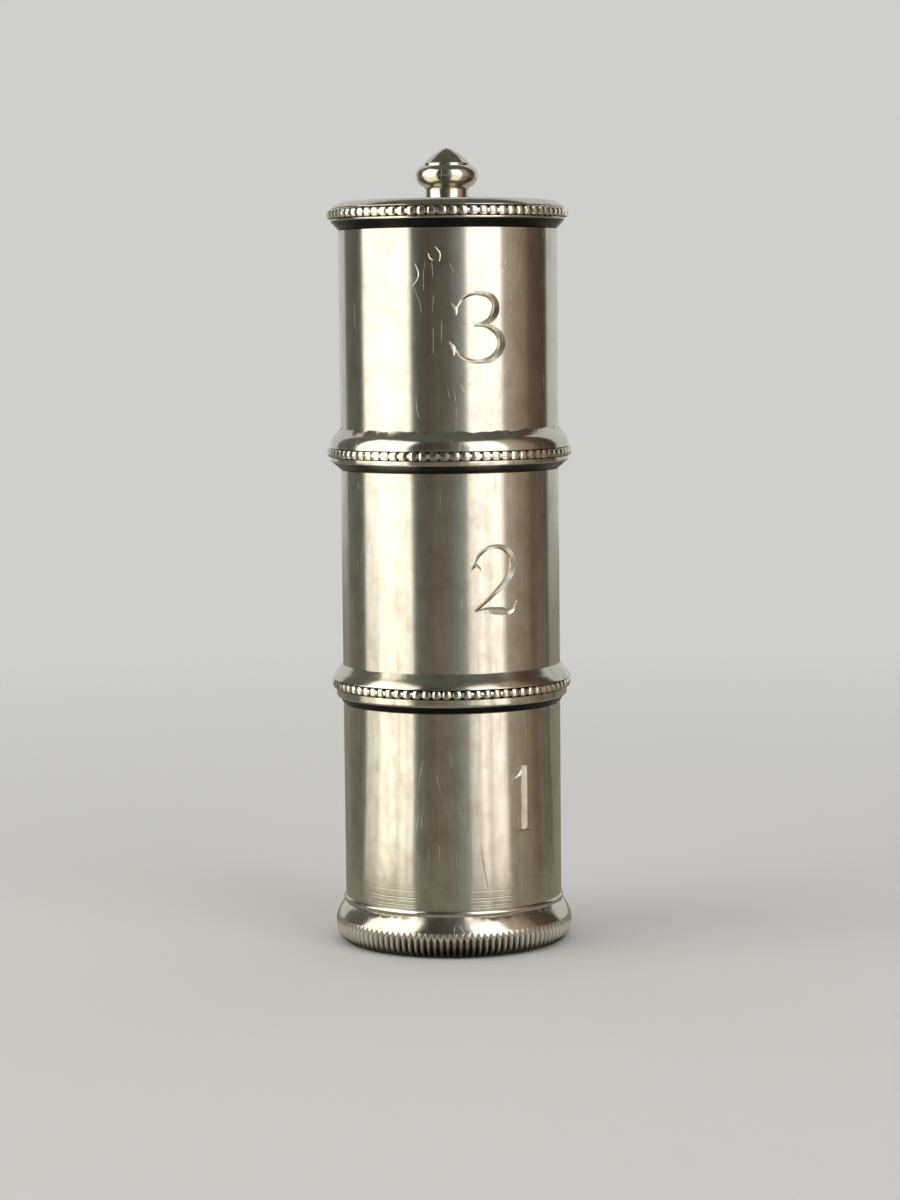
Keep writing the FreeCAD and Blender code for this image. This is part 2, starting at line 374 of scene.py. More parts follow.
def linear(hex_colour: str) -> tuple[float, float, float, float]:
    """Turn an sRGB hex colour into the linear values that nodes take."""
    channels = [int(hex_colour[i:i + 2], 16) / 255 for i in (1, 3, 5)]
    curve = [c / 12.92 if c <= 0.04045 else ((c + 0.055) / 1.055) ** 2.4 for c in channels]
    return (curve[0], curve[1], curve[2], 1.0)


Socket = bpy.types.NodeSocket


def add_node(
    tree: bpy.types.NodeTree, kind: str, inputs: dict[object, object] | None = None, **settings: object
) -> bpy.types.Node:
    """Add a node with its settings, values and links.

    Args:
        tree: The node tree.
        kind: The node's type, without the word ShaderNode.
        inputs: By input name or number: a value, or the socket to link from.
        settings: Values for the node's own properties.

    Returns:
        The new node.
    """
    node = tree.nodes.new("ShaderNode" + kind)
    for key, value in settings.items():
        setattr(node, key, value)
    for key, value in (inputs or {}).items():
        if isinstance(value, bpy.types.NodeSocket):
            tree.links.new(value, node.inputs[key])
        else:
            node.inputs[key].default_value = value
    return node


def new_material(name: str) -> tuple[bpy.types.Material, bpy.types.NodeTree, bpy.types.Node]:
    """An empty node material with its output node."""
    material = bpy.data.materials.new(name)
    material.use_nodes = True
    tree = material.node_tree
    tree.nodes.clear()
    return material, tree, add_node(tree, "OutputMaterial")


@dataclass(frozen=True)
class TurnedMetal:
    """Nickel silver turned on a lathe and polished, then worn and lightly tarnished.

    The tool leaves rings round the axis, so the gloss is drawn out along it: light and dark
    stand in upright bands with crisp sides and soft ends.
    """

    name: str
    colour: str = "#DAD6CA"
    tarnish: str = "#A08E74"
    # Colour of the pits, and of the painted shade laid nearer the axis where a shade radius is given
    pit_and_painted_shade: str = "#2A2722"
    tarnish_share: float = 0.32
    roughness: float = 0.16
    roughness_swing: float = 0.10
    anisotropy: float = 0.75
    ring_pitch: float = 0.16 * MM        # tool rings, drawn coarser than the real 0.05 mm
    ring_depth: float = 0.0006 * MM
    wave_size: float = 9.0 * MM          # the slow unevenness of a hand-finished wall
    wave_depth: float = 0.0025 * MM
    scratch_depth: float = 0.004 * MM
    scratch_sets: tuple[Point, Point] = ((35.0, 2.6 * MM), (-62.0, 3.4 * MM))   # degrees, spacing
    scratch_width: float = 0.0022        # of the noise's range round its middle value
    scratch_stretch: float = 0.22        # shrinks the pattern's scale along the axis
    cloud_size: float = 2.6 * MM
    streak_size: float = 0.35 * MM       # wear drawn along the axis by handling
    streak_length: float = 6.667 * MM
    streak_share: float = 0.12
    pit_size: float = 0.45 * MM
    painted_shade_radius: tuple[float, float] | None = None   # dark inside the first, clean beyond the second

    def radius(self, tree: bpy.types.NodeTree, place: Socket) -> tuple[Socket, Socket]:
        """How far a place is from the axis, and its flat direction from it."""
        split = add_node(tree, "SeparateXYZ", {"Vector": place}).outputs
        flat = add_node(tree, "CombineXYZ", {"X": split["X"], "Y": split["Y"]}).outputs[0]
        length = add_node(tree, "VectorMath", {0: flat}, operation="LENGTH").outputs["Value"]
        return length, flat

    def rings(self, tree: bpy.types.NodeTree, place: Socket) -> Socket:
        """The height of the tool rings: it varies with height and radius, hardly round the axis."""
        height = add_node(tree, "SeparateXYZ", {"Vector": place}).outputs["Z"]
        radius, flat = self.radius(tree, place)
        across = add_node(tree, "Math", {0: radius, 1: height}, operation="ADD").outputs[0]
        scaled = add_node(
            tree, "Math", {0: across, 1: 1 / self.ring_pitch}, operation="MULTIPLY"
        ).outputs[0]
        noise_node = add_node(
            tree, "TexNoise",
            {"Vector": flat, "W": scaled, "Scale": 40.0, "Detail": 3.0, "Roughness": 0.65},
            noise_dimensions="4D",
        )
        return noise_node.outputs["Fac"]

    def hairlines(self, tree: bpy.types.NodeTree, place: Socket, turn_deg: float, size: float) -> Socket:
        """Thin curved scratches: where a slow noise crosses its middle value."""
        mapping = add_node(
            tree, "Mapping",
            {"Vector": place, "Rotation": (0.0, math.radians(turn_deg), math.radians(turn_deg / 2)),
             "Scale": (1 / size, 1 / size, self.scratch_stretch / size)},
        ).outputs[0]
        slow = add_node(tree, "TexNoise", {"Vector": mapping, "Scale": 1.0, "Detail": 1.5}).outputs["Fac"]
        from_middle = add_node(tree, "Math", {0: slow, 1: 0.5}, operation="SUBTRACT").outputs[0]
        distance = add_node(tree, "Math", {0: from_middle}, operation="ABSOLUTE").outputs[0]
        line = add_node(
            tree, "MapRange",
            {"Value": distance, "From Min": 0.0, "From Max": self.scratch_width, "To Min": 1.0,
             "To Max": 0.0},
        ).outputs[0]
        patches = add_node(tree, "TexNoise", {"Vector": place, "Scale": 0.9 / size, "Detail": 2.0})
        kept = add_node(
            tree, "MapRange",
            {"Value": patches.outputs["Fac"], "From Min": 0.52, "From Max": 0.60, "To Min": 0.0,
             "To Max": 1.0},
        ).outputs[0]
        return add_node(tree, "Math", {0: line, 1: kept}, operation="MULTIPLY").outputs[0]

    def tarnish_layers(self, tree: bpy.types.NodeTree, place: Socket) -> list[tuple[Socket, str]]:
        """The shares and colours laid over the clean metal: clouds, streaks, pits, and painted shade nearer
        the axis.
        """
        stretched = add_node(tree, "Mapping", {"Vector": place, "Scale": (1.0, 1.0, 0.8)}).outputs[0]
        clouds = add_node(
            tree, "TexNoise",
            {"Vector": stretched, "Scale": 1 / self.cloud_size, "Detail": 6.0, "Roughness": 0.65},
        ).outputs["Fac"]
        drawn_out = add_node(
            tree, "Mapping",
            {"Vector": place, "Scale": (1 / self.streak_size, 1 / self.streak_size, 1 / self.streak_length)},
        ).outputs[0]
        streaks = add_node(
            tree, "TexNoise", {"Vector": drawn_out, "Scale": 1.0, "Detail": 4.0}
        ).outputs["Fac"]
        cells = add_node(
            tree, "TexVoronoi", {"Vector": place, "Scale": 1 / self.pit_size, "Randomness": 1.0}
        ).outputs["Distance"]
        cloudy, streaked, pitted, sparse = (
            add_node(
                tree, "MapRange",
                {"Value": value, "From Min": low, "From Max": high, "To Min": start, "To Max": end},
            ).outputs[0]
            for value, low, high, start, end in (
                (clouds, 0.45, 0.68, 0.0, self.tarnish_share),
                (streaks, 0.48, 0.72, 0.0, self.streak_share),
                (cells, 0.04, 0.09, 0.7, 0.0),
                (clouds, 0.46, 0.56, 0.0, 1.0),
            )
        )
        pits = add_node(tree, "Math", {0: pitted, 1: sparse}, operation="MULTIPLY").outputs[0]
        layers = [(cloudy, self.tarnish), (streaked, self.tarnish), (pits, self.pit_and_painted_shade)]
        # Painted shade: the dark colour laid over everything nearer the axis than the first radius, fading
        # out by the second
        if self.painted_shade_radius:
            inner, outer = self.painted_shade_radius
            dark = add_node(
                tree, "MapRange",
                {"Value": self.radius(tree, place)[0], "From Min": inner, "From Max": outer,
                 "To Min": 1.0, "To Max": 0.0},
            ).outputs[0]
            layers.append((dark, self.pit_and_painted_shade))
        return layers

    def make(self) -> bpy.types.Material:
        """Build the material."""
        material, tree, output = new_material(self.name)
        place = add_node(tree, "TexCoord").outputs["Object"]
        rings = self.rings(tree, place)
        first, second = (self.hairlines(tree, place, *one) for one in self.scratch_sets)
        scratches = add_node(tree, "Math", {0: first, 1: second}, operation="MAXIMUM").outputs[0]
        waves = add_node(
            tree, "TexNoise", {"Vector": place, "Scale": 1 / self.wave_size, "Detail": 1.0}
        ).outputs["Fac"]
        colour = linear(self.colour)
        for share, tint in self.tarnish_layers(tree, place):
            colour = add_node(
                tree, "Mix", {"Factor": share, "A": colour, "B": linear(tint)}, data_type="RGBA"
            ).outputs["Result"]
        rough = add_node(
            tree, "MapRange",
            {"Value": rings, "From Min": 0.3, "From Max": 0.7, "To Min": self.roughness,
             "To Max": self.roughness + self.roughness_swing},
        ).outputs[0]
        height = add_node(tree, "Math", {0: rings, 1: self.ring_depth}, operation="MULTIPLY").outputs[0]
        for pattern, depth in ((waves, self.wave_depth), (scratches, -self.scratch_depth)):
            height = add_node(
                tree, "Math", {0: pattern, 1: depth, 2: height}, operation="MULTIPLY_ADD"
            ).outputs[0]
        bump = add_node(tree, "Bump", {"Height": height, "Strength": 1.0, "Distance": 1.0})
        along = add_node(tree, "Tangent", direction_type="RADIAL", axis="Z")
        shader = add_node(
            tree, "BsdfPrincipled",
            {"Base Color": colour, "Metallic": 1.0, "Roughness": rough, "Anisotropic": self.anisotropy,
             "Anisotropic Rotation": ACROSS_THE_RINGS, "Tangent": along.outputs[0],
             "Normal": bump.outputs[0]},
        )
        tree.links.new(shader.outputs[0], output.inputs[0])
        return material


@dataclass(frozen=True)
class Rubber:
    """Old black rubber, cut from sheet: matt, a little bloomed."""

    name: str
    colour: str = "#1B1A19"
    bloom: str = "#4A4744"
    grain_size: float = 0.4 * MM
    grain_depth: float = 0.02 * MM

    def make(self) -> bpy.types.Material:
        """Build the material."""
        material, tree, output = new_material(self.name)
        place = add_node(tree, "TexCoord").outputs["Object"]
        grain = add_node(
            tree, "TexNoise", {"Vector": place, "Scale": 1 / self.grain_size, "Detail": 5.0}
        ).outputs["Fac"]
        share = add_node(
            tree, "MapRange",
            {"Value": grain, "From Min": 0.45, "From Max": 0.75, "To Min": 0.0, "To Max": 0.5},
        ).outputs[0]
        colour = add_node(
            tree, "Mix", {"Factor": share, "A": linear(self.colour), "B": linear(self.bloom)},
            data_type="RGBA",
        ).outputs["Result"]
        bump = add_node(tree, "Bump", {"Height": grain, "Strength": 0.4, "Distance": self.grain_depth})
        shader = add_node(
            tree, "BsdfPrincipled",
            {"Base Color": colour, "Roughness": 0.7, "IOR": 1.52, "Normal": bump.outputs[0]},
        )
        tree.links.new(shader.outputs[0], output.inputs[0])
        return material


class Finishes:
    """Every finish on the object, made once."""

    def __init__(self) -> None:
        """Make the materials."""
        # Turned and handled: crisp upright bands, faint level rings
        self.wall = TurnedMetal("turned_nickel_silver_wall").make()
        # Buffed after turning: brighter, rounder highlights that wander a little
        self.moulding = TurnedMetal(
            "polished_nickel_silver_moulding", roughness=0.12, anisotropy=0.45, ring_pitch=0.3 * MM,
            ring_depth=0.0004 * MM, wave_size=3.0 * MM, wave_depth=0.006 * MM,
        ).make()
        # Painted dark reflection: the downward chamfers are painted almost black, standing in for the dark
        # surroundings that they reflect
        self.chamfer_painted_dark = TurnedMetal(
            "chamfer_painted_dark_reflection", colour="#26262A", tarnish="#4A443C", roughness=0.2,
            anisotropy=0.3,
        ).make()
        # Fresh facets left by a graver: each catches the light on its own
        self.cut = TurnedMetal(
            "bright_cut_nickel_silver", colour="#E8E4D8", tarnish="#8A7C68", roughness=0.18,
            anisotropy=0.0, ring_depth=0.0, wave_depth=0.0,
        ).make()
        # As it left the lathe, then dulled by its contents: soft and yellowish
        self.inner = TurnedMetal(
            "dull_turned_nickel_silver", colour="#BDB6A2", tarnish="#7D6C50", tarnish_share=0.7,
            roughness=0.32, anisotropy=0.6, wave_depth=0.0,
        ).make()
        # Sheet rubber: black and matt, greyed in patches
        self.seal = Rubber("aged_black_rubber").make()

    def reeding(self, valley: float, crest: float) -> bpy.types.Material:
        """Flutes bright on their crests, with painted shade in their valleys."""
        return TurnedMetal(
            "reeded_nickel_silver", colour="#E4E0D2", pit_and_painted_shade="#5A5448", roughness=0.2, anisotropy=0.0,
            ring_depth=0.0, wave_depth=0.0, painted_shade_radius=(valley * MM, crest * MM),
        ).make()

    def beads(self, name: str, beading: "Beading") -> bpy.types.Material:
        """Beaded wire, bright on its outer faces, with painted shade on the side towards the axis and
        between the beads.
        """
        centre, outer = beading.centre_radius * MM, beading.outer_radius * MM
        return TurnedMetal(
            name, colour="#E0DCD0", roughness=0.12, roughness_swing=0.04, anisotropy=0.0, ring_depth=0.0,
            wave_depth=0.0, painted_shade_radius=(centre, centre + 0.45 * (outer - centre)),
        ).make()


# Engraved numerals

Stroke = list[tuple[float, float, float]]     # (across, up, half-width), millimetres

NUMERALS: dict[str, list[Stroke]] = {
    "1": [
        [(0.0, -3.2, 0.33), (0.0, 0.0, 0.33), (0.0, 3.2, 0.33)],
        [(-1.15, 2.05, 0.05), (-0.55, 2.45, 0.16), (0.1, 3.15, 0.26)],
        [(-1.1, -3.3, 0.05), (-0.45, -3.2, 0.14), (0.0, -3.15, 0.2), (0.45, -3.2, 0.14), (1.1, -3.3, 0.05)],
    ],
    "2": [
        [(-2.25, 1.55, 0.06), (-1.75, 2.55, 0.13), (-0.2, 3.3, 0.17), (1.35, 2.75, 0.26), (1.85, 1.5, 0.36),
         (1.15, 0.05, 0.3), (-0.6, -1.6, 0.16), (-2.2, -2.95, 0.12)],
        [(-2.3, -3.1, 0.1), (-1.0, -2.95, 0.26), (0.4, -3.05, 0.33), (1.7, -3.05, 0.2), (2.35, -2.1, 0.06)],
        [(-2.6, 0.95, 0.03), (-2.28, 1.45, 0.16), (-1.85, 1.35, 0.1), (-1.6, 0.95, 0.03)],
    ],
    "3": [
        [(-2.3, 1.9, 0.06), (-1.5, 2.95, 0.15), (-0.1, 3.3, 0.18), (1.45, 2.7, 0.3), (1.6, 1.5, 0.36),
         (0.8, 0.55, 0.22), (-0.6, 0.25, 0.12)],
        [(-0.6, 0.25, 0.12), (1.0, 0.05, 0.2), (2.25, -1.2, 0.38), (1.75, -2.65, 0.32), (-0.1, -3.3, 0.18),
         (-1.7, -2.9, 0.14), (-2.55, -2.0, 0.06)],
        [(-2.75, 2.35, 0.03), (-2.35, 1.85, 0.16), (-2.3, 1.2, 0.04)],
        [(-3.0, -1.35, 0.03), (-2.6, -1.95, 0.17), (-2.55, -2.7, 0.04)],
    ],
}


# Single scratches on the walls, as strokes from the front of the wall: (across, up, half-width)
SCRATCHES: dict[str, Stroke] = {
    "oblique": [(2.75, 11.0, 0.03), (3.0, 9.3, 0.06), (3.45, 6.7, 0.04)],
    "hook": [(-1.9, 69.3, 0.02), (-1.65, 68.75, 0.045), (-1.0, 68.6, 0.02)],
    "arc": [(-1.2, 69.9, 0.02), (-0.75, 69.3, 0.045), (-0.8, 68.5, 0.02)],
    "tick": [(-3.2, 68.3, 0.02), (-2.9, 67.2, 0.045), (-3.45, 66.2, 0.02)],
}


@dataclass
class Engraving:
    """Strokes cut into a tube's wall with a V-shaped graver."""

    strokes: list[Stroke]
    height: float                   # of its middle, in millimetres
    azimuth_deg: float              # right of the front
    wall_radius: float = TUBE_RADIUS
    depth_share: float = 0.6        # of a stroke's half-width
    boldness: float = 1.25          # widens the strokes

    def bar(self, name: str, stroke: Stroke) -> bpy.types.Object:
        """One stroke as a diamond-section bar in the XZ plane, as wide as the cut."""
        deselect_all()
        bpy.ops.curve.primitive_bezier_curve_add(location=(0, 0, 0))
        bar = bpy.context.object
        bar.name = name
        curve = bar.data
        curve.dimensions = "3D"
        curve.twist_mode = "Z_UP"
        curve.bevel_depth = 1.0 * MM
        curve.bevel_resolution = 0
        curve.resolution_u = 10
        curve.use_fill_caps = True
        spline = curve.splines[0]
        spline.bezier_points.add(len(stroke) - 2)
        for point, (across, up, half_width) in zip(spline.bezier_points, stroke):
            point.co = Vector((across, up, 0)) * MM
            point.handle_left_type = point.handle_right_type = "AUTO"
            point.radius = half_width * self.boldness
        bpy.ops.object.convert(target="MESH")
        return bpy.context.object

    def wrap(self, point: Vector) -> Vector:
        """A flat point (across, up, out) on the round wall."""
        angle = math.radians(self.azimuth_deg) + point.x / (self.wall_radius * MM)
        radius = self.wall_radius * MM + point.z * self.depth_share
        return Vector(
            (radius * math.sin(angle), -radius * math.cos(angle), self.height * MM + point.y)
        )

    def cut(self, wall: bpy.types.Object) -> None:
        """Take the strokes out of the wall, one by one; their faces keep the cutter's finish."""
        for index, stroke in enumerate(self.strokes):
            graver = self.bar(f"graver_{index}", stroke)
            weld(graver)
            move_points(graver, self.wrap)
            weld(graver)
            give_finish(graver, wall.data.materials[1])
            apply_modifier(
                wall, "BOOLEAN", operation="DIFFERENCE", solver="EXACT", object=graver,
                material_mode="TRANSFER",
            )
            bpy.data.objects.remove(graver)
            LOG.info("%s: %d cut faces", wall.name, sum(f.material_index for f in wall.data.polygons))


# Sub-assemblies


@dataclass
class Beading:
    """A ring of wire rolled into squarish beads."""

    centre_radius: float
    height: float
    bead_radius: float
    squareness: float = 0.35        # 0 is a ball, 1 is a block
    flat: float = 0.86              # how far the beads stand out, as a share of their radius
    fill: float = 0.97              # how much of its pitch a bead takes up
    spread: float = 0.6             # how far out, in bead radii, the pitch is measured
    core: float = 0.66              # the wire's radius between beads, as a share of a bead's
    count: int = BEAD_COUNT

    @property
    def outer_radius(self) -> float:
        """How far the beads reach from the axis."""
        return self.centre_radius + self.bead_radius * self.flat

    def build(self, name: str) -> bpy.types.Object:
        """Model one bead, repeat it round and add the core wire."""
        deselect_all()
        bpy.ops.mesh.primitive_cube_add(size=1.0)
        bead = bpy.context.object
        bpy.ops.object.mode_set(mode="EDIT")
        bpy.ops.mesh.select_all(action="SELECT")
        bpy.ops.mesh.subdivide(number_cuts=3)
        bpy.ops.object.mode_set(mode="OBJECT")
        apply_modifier(
            bead, "CAST", cast_type="SPHERE", factor=1.0 - self.squareness, use_radius_as_size=True
        )
        widest = max(abs(v.co.x) for v in bead.data.vertices)
        pitch = math.tau * self.centre_radius / self.count
        half_pitch = pitch / 2 * MM * (1 + self.bead_radius / self.centre_radius * self.spread)
        centre, height, reach = self.centre_radius * MM, self.height * MM, self.bead_radius * MM

        def seat(point: Vector) -> Vector:
            """Scale the bead to its pitch and carry it out to the ring."""
            x, y, z = point / widest
            out = x * reach * (self.flat if x > 0 else 1.0)
            return Vector((centre + out, y * half_pitch * self.fill, height + z * reach))

        move_points(bead, seat)
        repeat_round(bead, self.count)
        bpy.ops.mesh.primitive_torus_add(
            major_radius=centre, minor_radius=self.core * reach, major_segments=self.count * 2,
            minor_segments=10, location=(0, 0, height),
        )
        core = bpy.context.object
        bpy.ops.object.transform_apply(location=True)
        return join([bead, core], name)


@dataclass
class Moulding:
    """The half-round moulding soldered round a tier's base; reaches are beyond the tube."""

    seam: float
    chamfer: Point
    strip: Point
    seat_low: float
    seat_high: float
    seat_depth: float
    band: Point
    band_middle: Point
    shoulder: Point
    toe: Point
    run: float = 0.0                # how unevenly the solder ran at its top edge
    solder_reach: float = 0.3       # how far from the tube it ran
    tube_radius: float = TUBE_RADIUS

    def at(self, reach: float, rise: float) -> Point:
        """A profile point from its reach beyond the tube and its rise above the seam."""
        return (self.tube_radius + reach, rise)

    def build(self, name: str) -> bpy.types.Object:
        """Turn the moulding."""
        inner, ease = SOLDER_GAP, 0.04          # ease softens a turned corner
        strip, strip_low = self.strip
        (_, chamfer_top), (band, _), (_, toe) = self.chamfer, self.band, self.toe
        outline = (
            Outline(*self.at(inner, 0.0), base=self.seam)
            .line(self.at(inner + ease, 0.0), self.at(*self.chamfer))
            .arc(self.at(strip - ease / 2, (chamfer_top + strip_low + ease) / 2),
                 self.at(strip, strip_low + ease + 0.01), 4)
            .line(self.at(strip, self.seat_low - ease), self.at(strip - ease, self.seat_low))
            .arc(self.at(strip - self.seat_depth, (self.seat_low + self.seat_high) / 2),
                 self.at(band - ease, self.seat_high), 8)
            .line(self.at(band, self.seat_high + ease), self.at(*self.band))
            .arc(self.at(*self.band_middle), self.at(*self.shoulder), 12)
            .line(self.at(*self.toe), self.at(inner, toe))
        )
        band_ring = turn(name, outline)
        reach = self.tube_radius + self.solder_reach
        ripple(band_ring, self.seam + self.shoulder[1], self.seam + toe, reach, self.run)
        return band_ring


@dataclass
class Tier:
    """One container: its tube with the engraved numeral, and what is soldered round it."""

    name: str
    body: Body
    numeral: str
    numeral_height: float
    numeral_azimuth_deg: float
    finishes: Finishes
    scratches: list[Stroke] = field(default_factory=list)
    edge: float = 0.06
    rings: list[float] = field(default_factory=list)        # heights of deep tool rings
    ring_depth: float = 0.005
    ring_half_width: float = 0.07

    def tube(self) -> bpy.types.Object:
        """Turn the tube and engrave it."""
        span = Span.of(f"{self.name}_tube")
        inner, outer, edge = BORE_RADIUS, TUBE_RADIUS, self.edge
        outline = Outline(inner, span.low + edge).line(
            (inner + edge, span.low), (outer - edge, span.low), (outer, span.low + edge),
        )
        for height in self.rings:
            outline.line(
                (outer, height - self.ring_half_width), (outer - self.ring_depth, height),
                (outer, height + self.ring_half_width),
            )
        outline.line(
            (outer, span.high - edge), (outer - edge, span.high), (inner + edge, span.high),
            (inner, span.high - edge),
        )
        tube = turn(f"{self.name}_tube_engraved", outline, WALL_STEPS)
        give_finish(tube, self.finishes.wall, self.finishes.cut)
        Engraving(NUMERALS[self.numeral], self.numeral_height, self.numeral_azimuth_deg).cut(tube)
        for scratch in self.scratches:
            Engraving([scratch], 0.0, 0.0).cut(tube)
        place_on(tube, self.body, Slot.OUTER, f"{self.name}_tube")
        round_shading(tube)
        return tube

    def ring(self, moulding: Moulding, beading: Beading) -> None:
        """Add the base moulding and its beaded wire."""
        band = moulding.build(f"{self.name}_moulding_turned")
        give_finish(band, self.finishes.moulding, self.finishes.chamfer_painted_dark)
        # The chamfer under the moulding gets the painted dark reflection.
        blacken_chamfer(band, moulding.seam + moulding.chamfer[1])
        place_on(band, self.body, Slot.OUTER, f"{self.name}_base_moulding")
        wire = beading.build(f"{self.name}_beading")
        # The bead finish carries painted shade between the beads and towards the tube.
        give_finish(wire, self.finishes.beads(f"{self.name}_bead_silver", beading))
        place_on(wire, self.body, Slot.BEADS, f"{self.name}_beaded_wire")


@dataclass
class Foot:
    """The reeded foot and the bright lip above it."""

    finishes: Finishes
    flute_depth: float = 0.46
    flute_low: float = 0.15         # heights between which the flutes run
    flute_high: float = 2.55
    columns: int = 6                # faces across a flute
    solder_drop: float = 0.4        # how far down from the top the solder ran
    solder_reach: float = 0.35
    run: float = 0.16
    run_out: float = 0.75           # over which a flute's upper end comes to a point

    def build(self) -> None:
        """Model one flute, repeat it round, and add the lip."""
        span, seat = Span.of("foot_ring"), Span.of("bottom_tube").low - SOLDER_GAP
        inner, opening = TUBE_RADIUS + SOLDER_GAP, BORE_RADIUS - FOOT_OPENING_INSET
        widest = span.radius - SOLDER_GAP
        outline = (
            Outline(opening, seat).line((opening, span.low), (widest - 1.1, span.low))
            .arc((widest - 0.32, 0.62), (widest - 0.05, 1.45), 6)
            .arc((widest - 0.01, 2.05), (widest - 0.15, 2.75), 9)
            .arc((widest - 0.5, 3.42), (inner + 0.06, span.high), 6)
            .line((inner, span.high), (inner, seat))
        )
        flute = draw_chain("foot_reeded", outline.points + outline.points[:1])
        step = math.tau / FLUTE_COUNT
        spin_about_axis(flute, step, self.columns)
        weld(flute)

        def press(point: Vector) -> Vector:
            """Press a V into the outer face; the tool backs out towards the top, to a point."""
            radius, height = math.hypot(point.x, point.y), point.z / MM
            if radius < (inner + 0.1) * MM or height < self.flute_low:
                return point
            phase = math.atan2(point.y, point.x) / step
            backed = max(0.0, 1 - (self.flute_high - height) / self.run_out)
            depth = self.flute_depth * max(0.0, 1 - abs(2 * phase - 1) - backed) * MM
            return Vector((point.x, point.y, 0)) * (1 - depth / radius) + Vector((0, 0, point.z))

        move_points(flute, press)
        repeat_round(flute, FLUTE_COUNT)
        weld(flute)
        ripple(flute, span.high - self.solder_drop, span.high, TUBE_RADIUS + self.solder_reach, self.run)
        # The flutes' valleys get painted shade.
        give_finish(flute, self.finishes.moulding, self.finishes.reeding(widest - 0.5, widest - 0.12))
        finish_faces(
            flute, 1,
            lambda centre, normal: centre.z < self.flute_high * MM and centre.xy.length > TUBE_RADIUS * MM,
        )
        place_on(flute, Body.BOTTOM, Slot.OUTER, "foot_ring")
        self.lip()

    def lip(self) -> None:
        """The thin rounded wire on top of the foot."""
        span = Span.of("foot_lip_wire")
        inner = TUBE_RADIUS + SOLDER_GAP
        outline = (
            Outline(inner, span.low + 0.02).line((inner + 0.08, span.low + 0.02))
            .arc((span.radius, span.low + 0.3), (inner + 0.04, span.high), 6)
            .line((inner, span.high))
        )
        lip = turn("foot_lip_soldered", outline)
        give_finish(lip, self.finishes.moulding)
        place_on(lip, Body.BOTTOM, Slot.BEADS, "foot_lip_wire")


@dataclass
class Lid:
    """The lid: rim ring, beaded wire, domed plate and finial knob."""

    finishes: Finishes
    rim_reach: float = 0.8          # beyond the tube
    chamfer_rise: float = 0.8
    edge_reach: float = 0.62        # of the plate beyond the tube
    plate_thickness: float = 0.65   # over the socket
    tenon_radius: float = 1.2       # of the knob's tenon
    tenon_length: float = 1.4
    knob_steps: int = 128

    def build(self) -> None:
        """Build the lid's pieces."""
        self.rim()
        self.plate()
        self.knob()

    def rim(self) -> None:
        """The ring with the chamfer under the beads, and the beads."""
        span, wire_span = Span.of("lid_rim_moulding"), Span.of("lid_beaded_wire")
        out, top = TUBE_RADIUS + self.rim_reach, span.high - span.low
        radius, middle = (wire_span.high - wire_span.low) / 2, (wire_span.low + wire_span.high) / 2
        outline = (
            Outline(BORE_RADIUS, 0.0, span.low).line((TUBE_RADIUS, 0.0), (out - 0.06, self.chamfer_rise))
            .arc((out, 0.88), (out, 1.0), 4)
            .line((out - 0.04, 1.04))
            .arc((out - 0.5, middle - span.low), (out - 0.04, 1.96), 8)
            .line((out - 0.1, top), (BORE_RADIUS, top))
        )
        rim = turn("lid_rim_turned", outline)
        give_finish(rim, self.finishes.moulding, self.finishes.chamfer_painted_dark)
        # The chamfer under the lid's beads gets the painted dark reflection.
        blacken_chamfer(rim, span.low + self.chamfer_rise)
        place_on(rim, Body.LID, Slot.OUTER, "lid_rim_moulding")
        beading = Beading(wire_span.radius - radius, middle, radius)
        wire = beading.build("lid_beading")
        # The bead finish carries painted shade between the beads and towards the rim.
        give_finish(wire, self.finishes.beads("lid_bead_silver", beading))
        place_on(wire, Body.LID, Slot.BEADS, "lid_beaded_wire")

    def plate(self) -> None:
        """The plate: a rounded edge rising to an almost flat top."""
        seat, under = BORE_RADIUS - SOLDER_GAP, Span.of("lid_rim_moulding").high + SOLDER_GAP
        edge, hole = TUBE_RADIUS + self.edge_reach, self.tenon_radius + SOLDER_GAP
        top = Span.of("lid_plate").high - under
        outline = (
            Outline(hole, top - self.plate_thickness, under)
            .line((seat, top - self.plate_thickness), (seat, 0.0), (edge - 0.04, 0.0))
            .arc((edge + 0.03, 0.05), (edge, 0.13), 4)
            .arc((edge - 0.52, 0.5), (edge - 1.32, top - 0.12), 8)
            .arc((7.0, top - 0.02), (2.9, top), 8)
            .line((hole, top))
        )
        plate = turn("lid_plate_turned", outline)
        give_finish(plate, self.finishes.moulding)
        place_on(plate, Body.LID, Slot.OUTER, "lid_plate")

    def knob(self) -> None:
        """The finial: cove neck, torus, small bright step and cone with a rounded tip."""
        base, tenon = Span.of("lid_plate").high + SOLDER_GAP, self.tenon_radius
        tip = Span.of("lid_knob").high - SOLDER_GAP - base
        outline = (
            Outline(0.0, -self.tenon_length, base)
            .line((tenon, -self.tenon_length), (tenon, 0.0), (2.3, 0.0))
            .arc((2.19, 0.35), (2.17, 0.8), 6)
            .arc((2.25, 1.15), (2.5, 1.3), 5)
            .arc((2.93, 1.72), (3.1, 2.1), 5)
            .arc((3.05, 2.85), (2.42, 3.36), 9)
            .line((2.3, 3.36), (2.3, 3.48))
            .arc((2.31, 3.56), (2.24, 3.64), 3)
            .arc((1.62, 4.27), (0.8, 4.85), 8)
            .arc((0.42, 5.05), (0.0, tip), 5)
        )
        knob = turn("lid_knob_turned", outline, self.knob_steps)
        give_finish(knob, self.finishes.moulding)
        place_on(knob, Body.LID, Slot.OUTER, "lid_knob")


# Studio


